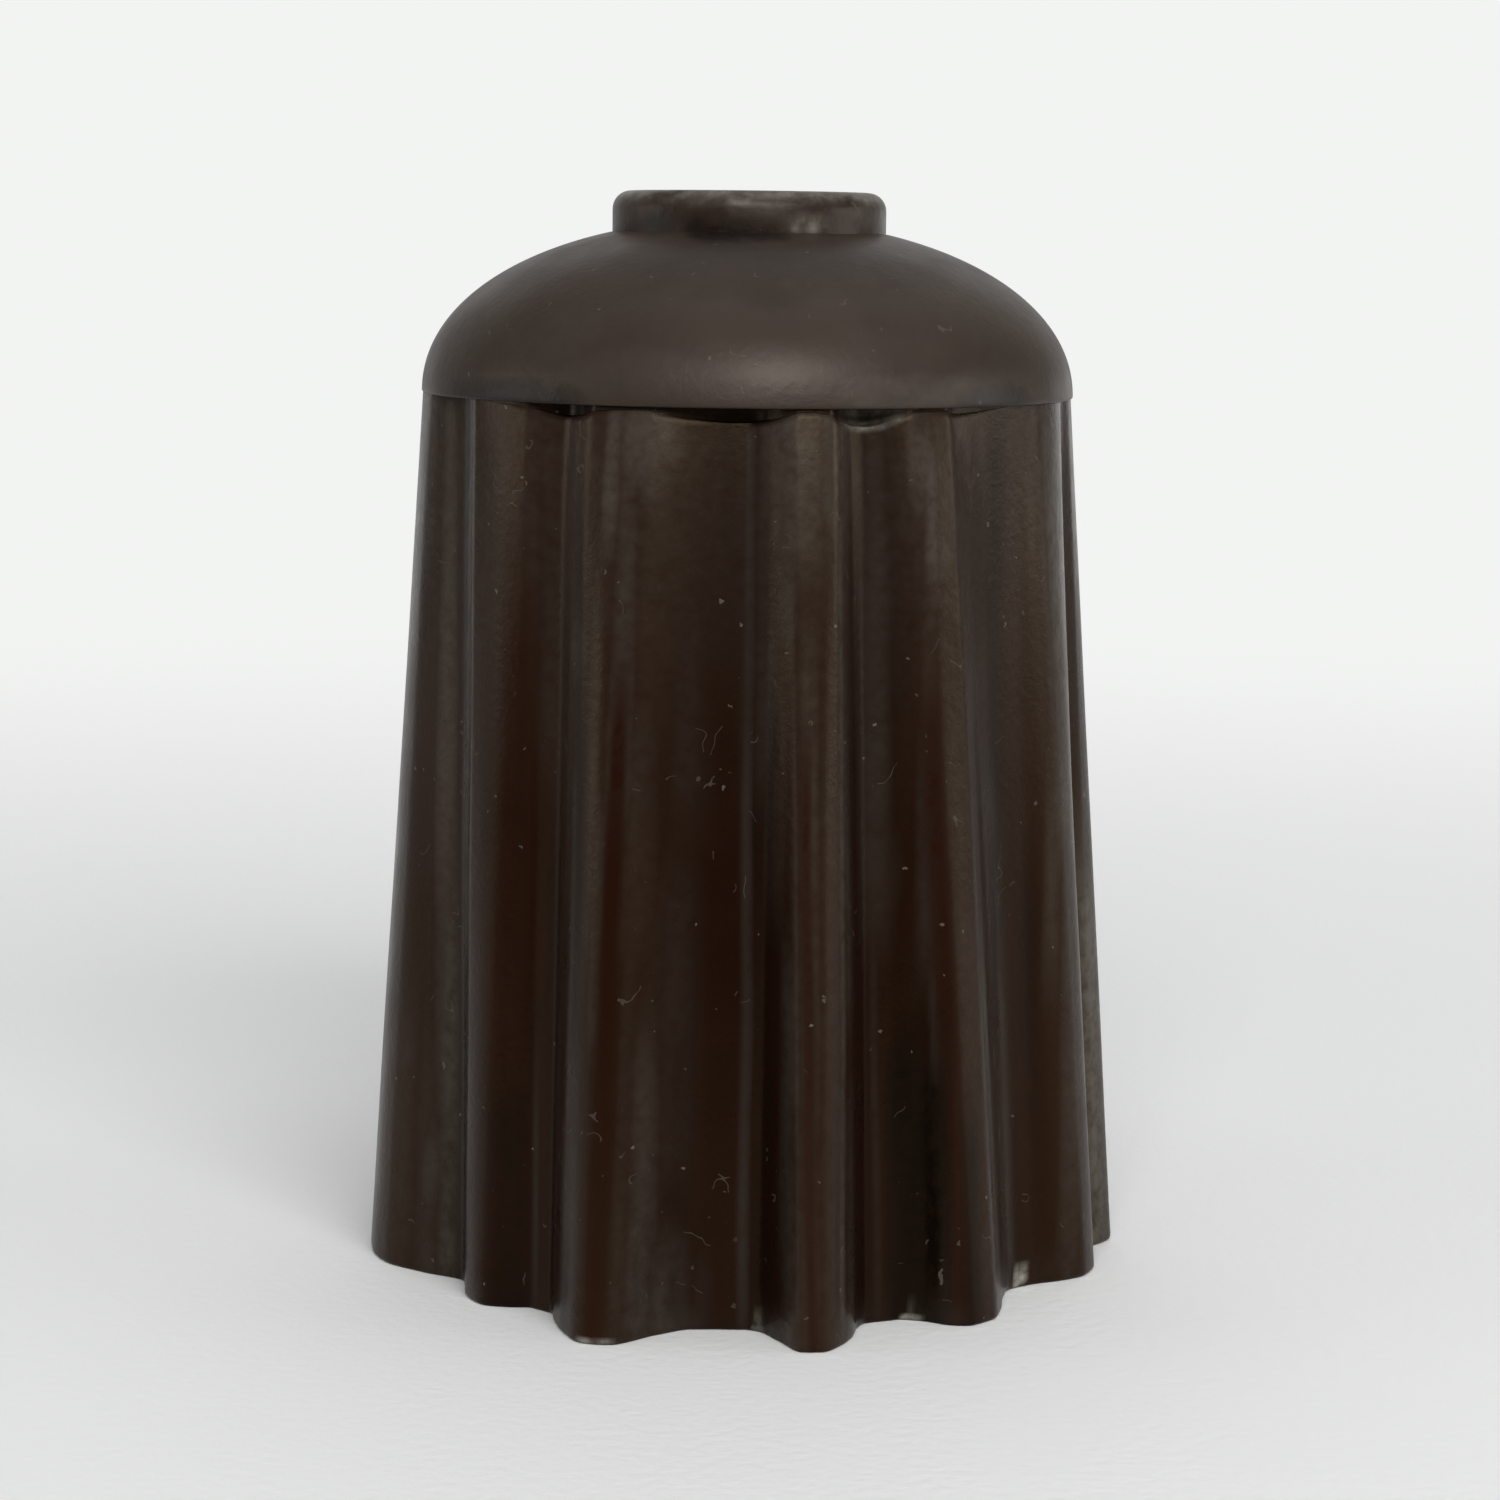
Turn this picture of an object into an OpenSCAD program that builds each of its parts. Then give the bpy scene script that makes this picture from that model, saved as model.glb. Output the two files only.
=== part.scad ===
// Bell-shaped pleated cover: a draped skirt, a domed shoulder cap seated on it,
// and a collar ring set in the neck of the cap.
// It stands on its hem at z = 0, with the axis of the neck along +Z.

/* [Skirt] */
// Height of the skirt, from the hem to the edge of the shoulder cap
skirt_h = 72; // [50:1:110]
// Radius over the tallest folds at the hem
hem_r = 32.8; // [31:0.1:40]
// Depth of the tallest fold at the hem
hem_fold = 6.3; // [3:0.1:7]
// Depth of the folds just under the shoulder cap
top_fold = 1.8; // [0.8:0.1:2]
// Wall at the floor of a fold
skirt_wall = 2; // [1.5:0.1:2.4]
// Share of the fold depth that the inside follows
inner_share = 0.55; // [0.2:0.05:0.65]
// Height of the scoop that ends each valley under the cap
scoop_h = 1.6; // [1:0.1:3]
// Depth of that scoop at the cap
scoop_d = 1.2; // [0.3:0.1:1.4]

/* [Shoulder cap] */
// Radius of the cap at its lower edge
cap_r = 26.85; // [26:0.05:29]
// Rise of the dome from that edge to where it would meet the axis
cap_rise = 14.35; // [12:0.05:20]
// Fullness of the dome: 2 is an ellipse, and more gives squarer shoulders
dome_power = 2.1; // [1.9:0.05:2.6]
// Wall of the cap at its crown
crown_wall = 2.6; // [2:0.1:3.2]
// How far the cap stands proud of the folds below it
cap_lip = 0.1; // [0:0.05:0.6]
// Height of the spigot that holds the cap on the skirt
spigot_h = 2.5; // [1.6:0.1:3.2]
// Wall of that spigot
spigot_wall = 2; // [1.4:0.1:2.4]
// How far the spigot stands back from the floor of the scoops
spigot_step = 0.5; // [0.3:0.1:0.8]

/* [Collar] */
// Outside radius of the collar at its foot
collar_r = 11.25; // [9.5:0.05:13]
// Height of the collar above its seat in the cap
collar_h = 3.6; // [2.6:0.1:8]
// Rounding of the collar's upper edge
collar_edge = 1.5; // [0.5:0.1:1.8]
// Radius of the bore through the collar
bore_r = 7.25; // [5:0.05:7.6]
// Depth of the collar's tail below its seat
tail_h = 2.4; // [1.5:0.1:4]
// Wall of that tail
tail_wall = 1.6; // [1:0.1:1.8]

/* [Fits] */
// Radial clearance of the cap on the skirt's spigot
cap_gap = 0.1; // [0.05:0.05:0.2]
// Radial clearance of the collar in the cap
collar_gap = 0.08; // [0.04:0.02:0.2]
// Height of the cap's inside rim above the top of the spigot
rim_clear = 0.3; // [0.2:0.1:0.6]
// How far the foot of the collar sits below the dome where the two meet
seat_sink = 0.25; // [0.15:0.05:0.5]

/* [Hidden] */
$fn = 96;

// Lines that run from the hem to the cap along the crests, shoulders and feet of the
// folds: angle at the hem, angle at the cap, height at the hem as a share of hem_fold,
// height at the cap as a share of top_fold. Angles are from the front, in degrees.
LINES = [
    [-88, -86, 0.76, 1], [-80, -80, 0.75, 1], [-74, -74, 0.66, 1], [-66.8, -68, 0.33, 0.8],
    [-58.5, -60.5, 0, 0.45], [-54.5, -56, 0.14, 0.72], [-50.3, -52.5, 0.32, 0.97],
    [-45.4, -46, 0.4, 1], [-41.5, -40.5, 0.25, 0.95], [-38, -37, 0.07, 0.65],
    [-34, -33.7, 0.09, 0.45], [-30.2, -30, 0.38, 0.72], [-26.7, -26.7, 0.68, 0.97],
    [-21.6, -21, 0.99, 1], [-18.2, -17, 0.93, 1], [-13.2, -11, 0.39, 0.7],
    [-8.2, -5.5, 0.05, 0.22], [-3, -2.5, 0, 0.03], [0.8, -0.2, 0, 0.03], [3.4, 3, 0.09, 0.34],
    [6.2, 6, 0.53, 0.8], [8.4, 8.4, 0.96, 1], [11.4, 11, 1, 1], [14.6, 13.6, 0.79, 0.95],
    [17.4, 15.8, 0.5, 0.6], [20, 18.2, 0.15, 0.2], [22.5, 21, 0, 0.03], [28, 23.6, 0.02, 0.33],
    [31.6, 26, 0.22, 0.8], [34.3, 28.5, 0.57, 1], [37, 31, 0.71, 1], [41, 34.8, 0.68, 1],
    [45, 37, 0.5, 0.86], [51, 39.5, 0.18, 0.76], [56, 45, 0.04, 0.62], [61, 51, 0.17, 0.66],
    [66.5, 56.5, 0.5, 0.86], [70, 59.5, 0.66, 0.98], [74, 63, 0.69, 1], [78, 69, 0.55, 0.95],
    [83, 77, 0.2, 0.6], [87.5, 83, 0.66, 0.9], [92, 89, 0.885, 1], [98, 96, 0.7, 0.95],
    [108, 107, 0, 0.3], [122, 124, 0.85, 1], [137, 138, 0, 0.25], [149, 147, 0.6, 1],
    [163, 162, 0, 0.25], [177, 176, 0.95, 1], [188, 190, 0, 0.1], [194, 193, 0, 0.1],
    [207, 210, 0.7, 1], [222, 224, 0, 0.25], [238, 236, 0.86, 1], [256, 258, 0, 0.4],
];

// Radii that the mating pieces share
top_r = cap_r - cap_lip;                 // over the folds, under the cap
floor_hem = hem_r - hem_fold;            // valley floor at the hem
floor_top = top_r - top_fold;            // valley floor under the cap
spigot_r = floor_top - scoop_d - spigot_step;  // outside of the skirt's spigot
spigot_bore = spigot_r - spigot_wall;
lip_bore = spigot_r + cap_gap;           // inside of the cap's rim
tail_r = bore_r + tail_wall;             // outside of the collar's tail
neck_bore = tail_r + collar_gap;         // hole in the crown of the cap
seat_r = collar_r + collar_gap;          // recess that the collar's foot sits in
seat_z = skirt_h + dome(seat_r) - seat_sink;

// Rows of the skirt, as shares of its height
OUTER_ROWS = [0, 0.06, 0.14, 0.24, 0.36, 0.48, 0.6, 0.72, 0.83, 0.91, 0.955];
INNER_ROWS = [0, 0.15, 0.35, 0.55, 0.75, 0.9];
around = 180;
scoop_rows = 5;

// Height of the dome above the cap's edge at radius r
function dome(r) = cap_rise * pow(1 - pow(r / cap_r, dome_power), 1 / dome_power);

function mix(a, b, s) = a + (b - a) * s;

// Angle of line i on the way up: s is 0 at the hem, 1 at the cap; the list goes on round
function line_at(i, s) = let (n = len(LINES), f = LINES[(i + n) % n])
    mix(f[0], f[1], s) + 360 * floor(i / n);
// Its height there
function line_h(i, s) = let (n = len(LINES), f = LINES[(i + n) % n])
    mix(hem_fold * f[2], top_fold * f[3], s);
// How steeply the folds rise from line i to the next, and the slope that both sides
// of line i share: level at a crest or a foot, and between its neighbours elsewhere
function rise(i, s) = (line_h(i + 1, s) - line_h(i, s)) / (line_at(i + 1, s) - line_at(i, s));
function slope(i, s) = let (p = rise(i - 1, s), q = rise(i, s)) p * q <= 0 ? 0 : 2 * p * q / (p + q);

// Height of the folds above the valley floor at angle a
function fold_height(a, s) = let (b = a + 360 * ceil((line_at(0, s) - a) / 360))
    [for (i = [0 : len(LINES) - 1]) let (from = line_at(i, s), to = line_at(i + 1, s))
        if (b >= from && b < to) let (w = to - from, t = (b - from) / w)
            line_h(i, s) * (1 - t) * (1 - t) * (1 + 2 * t) + line_h(i + 1, s) * t * t * (3 - 2 * t)
            + w * t * (1 - t) * (slope(i, s) * (1 - t) - slope(i + 1, s) * t)
    ][0];

function floor_r(s) = mix(floor_hem, floor_top, s);

// The scoops are cut from the front and from behind, and fade out at the sides
function facing(a) = max(0, min(1, 4 * (abs(cos(a)) - 0.62)));
// How deep the scoop under the cap is cut: it starts lower where the valley is deeper
function scoop(a, z) =
    let (open = sqrt(1 - min(1, fold_height(a, 1) / top_fold)),
         up = (z - skirt_h) / scoop_h + open)
    scoop_d * facing(a) * max(0, min(4 * up, open));

function outer_r(a, z) =
    let (s = z / skirt_h) floor_r(s) + fold_height(a, s) - scoop(a, z);
function inner_r(a, z) =
    let (s = z / skirt_h) floor_r(s) - skirt_wall + inner_share * fold_height(a, s);

// A ring of points; angle 0 faces the front, -Y
function ring(radii, z) = [for (i = [0 : around - 1])
    let (a = 360 * i / around) [radii[i] * sin(a), -radii[i] * cos(a), z]];

module skirt() {
    outer_z = concat([for (s = OUTER_ROWS) s * skirt_h],
        [for (i = [scoop_rows - 1 : -1 : 0]) skirt_h - scoop_h * i / (scoop_rows - 1)]);
    inner_z = [for (s = INNER_ROWS) s * skirt_h];
    up = [for (z = outer_z) ring([for (i = [0 : around - 1]) outer_r(360 * i / around, z)], z)];
    down = [for (i = [len(inner_z) - 1 : -1 : 0]) let (z = inner_z[i])
        ring([for (j = [0 : around - 1]) inner_r(360 * j / around, z)], z)];
    // The inside closes to a plain circle at the top
    crown = [ring([for (i = [0 : around - 1]) spigot_r - spigot_wall / 2], skirt_h)];
    rings = concat(up, crown, down);
    count = len(rings);
    color("#35281f") {
        polyhedron(points = [for (r = rings) each r], faces = [
            for (k = [0 : count - 1], i = [0 : around - 1])
                let (n = (k + 1) % count, j = (i + 1) % around)
                each [[k * around + i, n * around + i, k * around + j],
                      [k * around + j, n * around + i, n * around + j]]
        ]);
        translate([0, 0, skirt_h - spigot_h]) difference() {
            cylinder(r = spigot_r, h = 2 * spigot_h);
            translate([0, 0, -1]) cylinder(r = spigot_bore, h = 2 * spigot_h + 2);
        }
    }
}

module shoulder_cap() {
    steps = 24;
    // Inside, a straight rim clears the spigot and runs into a flatter dome
    rim_z = spigot_h + rim_clear;
    inner_rise = cap_rise - crown_wall - rim_z;
    round_by = 2 / dome_power;
    color("#453d38") translate([0, 0, skirt_h]) difference() {
        rotate_extrude() polygon(concat(
            [for (i = [0 : steps]) let (t = 90 * i / steps)
                [cap_r * pow(cos(t), round_by), cap_rise * pow(sin(t), round_by)]],
            [for (i = [steps : -1 : 0]) let (t = 90 * i / steps)
                [lip_bore * pow(cos(t), round_by), rim_z + inner_rise * pow(sin(t), round_by)]],
            [[lip_bore, 0]]));
        cylinder(r = neck_bore, h = cap_rise + 1);
        translate([0, 0, seat_z - skirt_h]) cylinder(r = seat_r, h = cap_rise);
    }
}

module collar_ring() {
    color("#40352f") translate([0, 0, seat_z]) rotate_extrude() {
        translate([bore_r, -tail_h]) square([tail_wall, tail_h + collar_edge]);
        translate([bore_r, 0]) square([collar_r - bore_r, collar_h - collar_edge]);
        translate([bore_r, 0]) square([collar_r - bore_r - collar_edge, collar_h]);
        translate([collar_r - collar_edge, collar_h - collar_edge]) circle(r = collar_edge);
    }
}

skirt();
shoulder_cap();
collar_ring();
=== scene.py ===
import bpy
from math import cos, pi, radians, sin
import numpy as np
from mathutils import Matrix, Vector, noise


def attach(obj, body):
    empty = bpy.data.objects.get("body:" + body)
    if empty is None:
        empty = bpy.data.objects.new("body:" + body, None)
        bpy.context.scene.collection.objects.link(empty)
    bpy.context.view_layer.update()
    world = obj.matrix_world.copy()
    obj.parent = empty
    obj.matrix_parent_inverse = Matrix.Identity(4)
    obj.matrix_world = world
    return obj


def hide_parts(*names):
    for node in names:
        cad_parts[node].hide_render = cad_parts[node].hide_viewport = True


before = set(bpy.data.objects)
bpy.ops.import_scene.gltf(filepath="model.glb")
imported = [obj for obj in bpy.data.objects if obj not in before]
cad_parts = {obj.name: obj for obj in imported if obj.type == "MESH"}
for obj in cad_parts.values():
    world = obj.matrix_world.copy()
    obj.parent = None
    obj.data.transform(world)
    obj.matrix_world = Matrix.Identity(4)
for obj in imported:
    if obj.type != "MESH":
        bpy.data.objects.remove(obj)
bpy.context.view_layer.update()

# ---------------------------------------------------------------- camera
# The cover is looked at level with its collar, from about five hem widths away and a
# little downwards, so that the hem bows and the collar shows no top face.
CAMERA_AT = (-0.00195, -0.300, 0.0848)
LOOK_DOWN, LOOK_ASIDE, ROLL = 8.08, 0.48, 0.67
bpy.ops.object.select_all(action="DESELECT")
bpy.ops.object.camera_add(location=CAMERA_AT,
                          rotation=(radians(90 - LOOK_DOWN), 0, radians(-LOOK_ASIDE)))
camera = bpy.context.object
camera.name = "view_camera"
camera.rotation_euler.rotate_axis("Z", radians(ROLL))
camera.data.sensor_width = 36
camera.data.lens = 86.6
camera.data.clip_start = 0.01
bpy.context.scene.camera = camera

# ---------------------------------------------------------------- floor and light
# A sheet of pale card that runs level under the cover and bends up far behind it.
FLOOR_FRONT, FLOOR_BACK, FLOOR_HALF = -1.6, 0.9, 1.6
BEND_R, WALL_H = 0.45, 1.1
bpy.ops.mesh.primitive_plane_add(size=1, location=(0, 0, 0))
floor = bpy.context.object
floor.name = "pale_floor"
bpy.ops.object.mode_set(mode="EDIT")
bpy.ops.mesh.select_all(action="SELECT")
bpy.ops.transform.resize(value=(2 * FLOOR_HALF, FLOOR_BACK - FLOOR_FRONT, 1))
bpy.ops.transform.translate(value=(0, (FLOOR_BACK + FLOOR_FRONT) / 2, 0))
bpy.ops.object.mode_set(mode="OBJECT")
for edge in floor.data.edges:
    edge.select = all(abs(floor.data.vertices[v].co.y - FLOOR_BACK) < 1e-4 for v in edge.vertices)
for vertex in floor.data.vertices:
    vertex.select = abs(vertex.co.y - FLOOR_BACK) < 1e-4
for face in floor.data.polygons:
    face.select = False
bpy.ops.object.mode_set(mode="EDIT")
bpy.ops.mesh.select_mode(type="EDGE")
BEND_STEPS = 16
for step in range(BEND_STEPS):
    a, b = (pi / 2 * k / BEND_STEPS for k in (step, step + 1))
    bpy.ops.mesh.extrude_region_move(TRANSFORM_OT_translate={
        "value": (0, BEND_R * (sin(b) - sin(a)), BEND_R * (cos(a) - cos(b)))})
bpy.ops.mesh.extrude_region_move(TRANSFORM_OT_translate={"value": (0, 0, WALL_H)})
bpy.ops.mesh.select_all(action="SELECT")
bpy.ops.mesh.normals_make_consistent(inside=False)
bpy.ops.object.mode_set(mode="OBJECT")
bpy.ops.object.shade_smooth()

card = bpy.data.materials.new("pale_card")
card.use_nodes = True
card_nodes, card_links = card.node_tree.nodes, card.node_tree.links
card_shader = card_nodes["Principled BSDF"]
card_shader.inputs["Roughness"].default_value = 0.85
card_shader.inputs["Specular IOR Level"].default_value = 0.1
# Pale where it is seen, also in a gloss, and greyer in the light that it throws back
card_rays = card_nodes.new("ShaderNodeLightPath")
card_seen = card_nodes.new("ShaderNodeMath")
card_seen.operation = "MAXIMUM"
card_gloss = card_nodes.new("ShaderNodeMath")
card_gloss.operation = "MAXIMUM"
card_tone = card_nodes.new("ShaderNodeMix")
card_tone.data_type = "RGBA"
card_tone.inputs["A"].default_value = (0.22, 0.22, 0.22, 1)
card_tone.inputs["B"].default_value = (0.95, 0.955, 0.95, 1)
card_links.new(card_rays.outputs["Is Glossy Ray"], card_gloss.inputs[0])
card_links.new(card_rays.outputs["Is Transmission Ray"], card_gloss.inputs[1])
card_links.new(card_rays.outputs["Is Camera Ray"], card_seen.inputs[0])
card_links.new(card_gloss.outputs["Value"], card_seen.inputs[1])
card_links.new(card_seen.outputs["Value"], card_tone.inputs["Factor"])
card_links.new(card_tone.outputs["Result"], card_shader.inputs["Base Color"])
# Away from the cover it turns evenly white where the camera sees it
card_place = card_nodes.new("ShaderNodeTexCoord")
card_away = card_nodes.new("ShaderNodeVectorMath")
card_away.operation = "LENGTH"
card_far = card_nodes.new("ShaderNodeMapRange")
card_far.interpolation_type = "SMOOTHSTEP"
card_far.inputs["From Min"].default_value = 0.03
card_far.inputs["From Max"].default_value = 0.50
card_veil = card_nodes.new("ShaderNodeMath")
card_veil.operation = "MULTIPLY"
card_glow = card_nodes.new("ShaderNodeEmission")
card_glow.inputs["Color"].default_value = (0.89, 0.90, 0.89, 1)
card_blend = card_nodes.new("ShaderNodeMixShader")
card_links.new(card_place.outputs["Object"], card_away.inputs["Vector"])
card_links.new(card_away.outputs["Value"], card_far.inputs["Value"])
card_links.new(card_far.outputs["Result"], card_veil.inputs[0])
card_links.new(card_rays.outputs["Is Camera Ray"], card_veil.inputs[1])
card_links.new(card_veil.outputs["Value"], card_blend.inputs["Fac"])
card_links.new(card_shader.outputs["BSDF"], card_blend.inputs[1])
card_links.new(card_glow.outputs["Emission"], card_blend.inputs[2])
card_links.new(card_blend.outputs["Shader"], card_nodes["Material Output"].inputs["Surface"])
card_grain = card_nodes.new("ShaderNodeTexNoise")
card_grain.inputs["Scale"].default_value = 900
card_grain.inputs["Detail"].default_value = 4
card_bump = card_nodes.new("ShaderNodeBump")
card_bump.inputs["Strength"].default_value = 0.25
card_bump.inputs["Distance"].default_value = 0.0004
card_links.new(card_place.outputs["Object"], card_grain.inputs["Vector"])
card_links.new(card_grain.outputs["Fac"], card_bump.inputs["Height"])
card_links.new(card_bump.outputs["Normal"], card_shader.inputs["Normal"])
floor.data.materials.append(card)

# Light comes from a soft window in front, above and to the right of the camera, and less
# from either side, from behind and from a pale ceiling. Little of it comes from straight
# ahead, where the one who looks stands. The fill behind gives no gloss. Each lamp has a
# place, a point that it looks at, a width, a height, a power, and whether gloss shows it.
LAMPS = {
    "window_light": ((0.16, -0.88, 0.58), (0, 0, 0.08), 0.90, 0.45, 9.2, True),
    "ceiling_light": ((0.15, 0.10, 1.50), (0, 0.05, 0.05), 1.8, 1.8, 5.5, True),
    "left_light": ((-1.00, -0.12, 0.16), (0, 0, 0.05), 0.50, 0.26, 1.5, True),
    "right_light": ((1.05, -0.09, 0.16), (0, 0, 0.05), 0.60, 0.26, 2.0, True),
    "left_back_light": ((-0.70, 0.95, 0.20), (0, 0, 0.04), 0.45, 0.40, 0.15, True),
    "right_back_light": ((0.55, 0.88, 0.08), (0, 0, 0.04), 0.40, 0.13, 0.15, True),
    "back_light": ((0, 0.98, 0.42), (0, 0, 0.04), 1.40, 0.70, 1.0, True),
    "back_fill": ((0, 0.98, 0.24), (0, 0, 0.04), 1.20, 0.40, 3.6, False),
}
for name, (place, aim, wide, high, power, in_gloss) in LAMPS.items():
    bpy.ops.object.light_add(type="AREA", location=place)
    lamp = bpy.context.object
    lamp.name = name
    lamp.data.shape = "RECTANGLE"
    lamp.data.size, lamp.data.size_y = wide, high
    lamp.data.energy = power
    reach = Vector(aim) - Vector(place)
    lamp.rotation_euler = reach.to_track_quat("-Z", "Y").to_euler()
    lamp.visible_camera = False
    lamp.visible_glossy = in_gloss

# A dark sheet lies in front of the cover, a painted shade for the lower folds. Only gloss
# shows it, so they show a painted dark reflection instead of the pale floor.
bpy.ops.object.select_all(action="DESELECT")
bpy.ops.mesh.primitive_plane_add(size=1, location=(0, 0, 0))
dark_reflection_sheet = bpy.context.object
dark_reflection_sheet.name = "dark_reflection_sheet"
bpy.ops.object.mode_set(mode="EDIT")
bpy.ops.transform.resize(value=(0.90, 0.70, 1))
bpy.ops.transform.translate(value=(0, -0.46, 0.002))
bpy.ops.object.mode_set(mode="OBJECT")
dark_reflection_sheet.visible_camera = dark_reflection_sheet.visible_diffuse = dark_reflection_sheet.visible_shadow = False
dark_reflection_card = bpy.data.materials.new("dark_reflection_card")
dark_reflection_card.use_nodes = True
paper_shader = dark_reflection_card.node_tree.nodes["Principled BSDF"]
paper_shader.inputs["Base Color"].default_value = (0.05, 0.04, 0.03, 1)
paper_shader.inputs["Roughness"].default_value = 0.9
dark_reflection_sheet.data.materials.append(dark_reflection_card)

# The room is dim as a light, and pale where the camera sees it past the card
world = bpy.data.worlds.new("studio")
bpy.context.scene.world = world
world.use_nodes = True
sky_nodes, sky_links = world.node_tree.nodes, world.node_tree.links
sky_nodes["Background"].inputs["Color"].default_value = (0.97, 0.98, 1, 1)
sky_rays = sky_nodes.new("ShaderNodeLightPath")
sky_level = sky_nodes.new("ShaderNodeMapRange")
sky_level.inputs["To Min"].default_value = 0.12
sky_level.inputs["To Max"].default_value = 0.86
sky_links.new(sky_rays.outputs["Is Camera Ray"], sky_level.inputs["Value"])
sky_links.new(sky_level.outputs["Result"], sky_nodes["Background"].inputs["Strength"])
bpy.context.scene.view_settings.view_transform = "Standard"

# ---------------------------------------------------------------- skirt
# A moulded shell of brown phenolic plastic, draped like heavy cloth. It is open at
# the hem, and a spigot round its top carries the shoulder cap.
SKIRT_H = 0.072
HEM_R, HEM_FOLD, TOP_FOLD = 0.0328, 0.0063, 0.0018
CAP_R, CAP_LIP = 0.02685, 0.0001
SKIRT_WALL, INNER_SHARE = 0.002, 0.55
SCOOP_H, SCOOP_D = 0.0016, 0.0012
SPIGOT_H, SPIGOT_WALL, SPIGOT_STEP = 0.0025, 0.002, 0.0005
# Crests, shoulders and feet of the folds: angle at the hem, angle at the cap, height at
# the hem as a share of HEM_FOLD, height at the cap as a share of TOP_FOLD
FOLD_LINES = np.array([
    (-88, -86, 0.76, 1), (-80, -80, 0.75, 1), (-74, -74, 0.66, 1), (-66.8, -68, 0.33, 0.8),
    (-58.5, -60.5, 0, 0.45), (-54.5, -56, 0.14, 0.72), (-50.3, -52.5, 0.32, 0.97),
    (-45.4, -46, 0.4, 1), (-41.5, -40.5, 0.25, 0.95), (-38, -37, 0.07, 0.65),
    (-34, -33.7, 0.09, 0.45), (-30.2, -30, 0.38, 0.72), (-26.7, -26.7, 0.68, 0.97),
    (-21.6, -21, 0.99, 1), (-18.2, -17, 0.93, 1), (-13.2, -11, 0.39, 0.7),
    (-8.2, -5.5, 0.05, 0.22), (-3, -2.5, 0, 0.03), (0.8, -0.2, 0, 0.03), (3.4, 3, 0.09, 0.34),
    (6.2, 6, 0.53, 0.8), (8.4, 8.4, 0.96, 1), (11.4, 11, 1, 1), (14.6, 13.6, 0.79, 0.95),
    (17.4, 15.8, 0.5, 0.6), (20, 18.2, 0.15, 0.2), (22.5, 21, 0, 0.03), (28, 23.6, 0.02, 0.33),
    (31.6, 26, 0.22, 0.8), (34.3, 28.5, 0.57, 1), (37, 31, 0.71, 1), (41, 34.8, 0.68, 1),
    (45, 37, 0.5, 0.86), (51, 39.5, 0.18, 0.76), (56, 45, 0.04, 0.62), (61, 51, 0.17, 0.66),
    (66.5, 56.5, 0.5, 0.86), (70, 59.5, 0.66, 0.98), (74, 63, 0.69, 1), (78, 69, 0.55, 0.95),
    (83, 77, 0.2, 0.6), (87.5, 83, 0.66, 0.9), (92, 89, 0.885, 1), (98, 96, 0.7, 0.95),
    (108, 107, 0, 0.3), (122, 124, 0.85, 1), (137, 138, 0, 0.25), (149, 147, 0.6, 1),
    (163, 162, 0, 0.25), (177, 176, 0.95, 1), (188, 190, 0, 0.1), (194, 193, 0, 0.1),
    (207, 210, 0.7, 1), (222, 224, 0, 0.25), (238, 236, 0.86, 1), (256, 258, 0, 0.4),
])
TOP_R = CAP_R - CAP_LIP
FLOOR_HEM, FLOOR_TOP = HEM_R - HEM_FOLD, TOP_R - TOP_FOLD
SPIGOT_R = FLOOR_TOP - SCOOP_D - SPIGOT_STEP
CLOSE = 1e-6


def fold_height(angle, up):
    """Height of the folds above the valley floor; up is 0 at the hem and 1 at the cap."""
    count, up = len(FOLD_LINES), up[:, None]
    at = FOLD_LINES[:, 0] * (1 - up) + FOLD_LINES[:, 1] * up
    high = HEM_FOLD * FOLD_LINES[:, 2] * (1 - up) + TOP_FOLD * FOLD_LINES[:, 3] * up
    at = np.hstack([at[:, -1:] - 360, at, at[:, :2] + 360])
    high = np.hstack([high[:, -1:], high, high[:, :2]])
    rise = np.diff(high) / np.diff(at)
    before, after = rise[:, :-1], rise[:, 1:]
    level = before * after <= 0
    slope = np.where(level, 0, 2 * before * after / np.where(level, 1, before + after))
    turn = angle + 360 * np.ceil((at[:, 1] - angle) / 360)
    k = np.clip((at[:, 1:] <= turn[:, None]).sum(axis=1), 1, count)[:, None]
    start, end = (np.take_along_axis(at, k + j, 1)[:, 0] for j in (0, 1))
    low, top = (np.take_along_axis(high, k + j, 1)[:, 0] for j in (0, 1))
    leave, reach = (np.take_along_axis(slope, k + j - 1, 1)[:, 0] for j in (0, 1))
    width = end - start
    t = (turn - start) / width
    return (low * (1 - t) ** 2 * (1 + 2 * t) + top * t ** 2 * (3 - 2 * t)
            + width * t * (1 - t) * (leave * (1 - t) - reach * t))


def turned(name, outline, sides):
    """A closed outline of (radius, height) points, spun round the Z axis."""
    bpy.ops.object.select_all(action="DESELECT")
    bpy.ops.mesh.primitive_plane_add(size=0.001, location=(0, 0, 0))
    piece = bpy.context.object
    piece.name = name
    bpy.ops.object.mode_set(mode="EDIT")
    bpy.ops.mesh.select_mode(type="VERT")
    bpy.ops.mesh.select_all(action="SELECT")
    bpy.ops.mesh.merge(type="CENTER")
    bpy.ops.transform.translate(value=(outline[0][0], 0, outline[0][1]))
    for here, there in zip(outline, outline[1:] + outline[:1]):
        bpy.ops.mesh.extrude_region_move(TRANSFORM_OT_translate={
            "value": (there[0] - here[0], 0, there[1] - here[1])})
    bpy.ops.object.mode_set(mode="OBJECT")
    bpy.ops.object.modifier_add(type="SCREW")
    spin = piece.modifiers[-1]
    spin.steps = spin.render_steps = sides
    spin.use_merge_vertices, spin.merge_threshold = True, CLOSE
    bpy.ops.object.modifier_apply(modifier=spin.name)
    bpy.ops.object.mode_set(mode="EDIT")
    bpy.ops.mesh.select_all(action="SELECT")
    bpy.ops.mesh.remove_doubles(threshold=CLOSE)
    bpy.ops.mesh.normals_make_consistent(inside=False)
    bpy.ops.object.mode_set(mode="OBJECT")
    return piece


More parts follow.
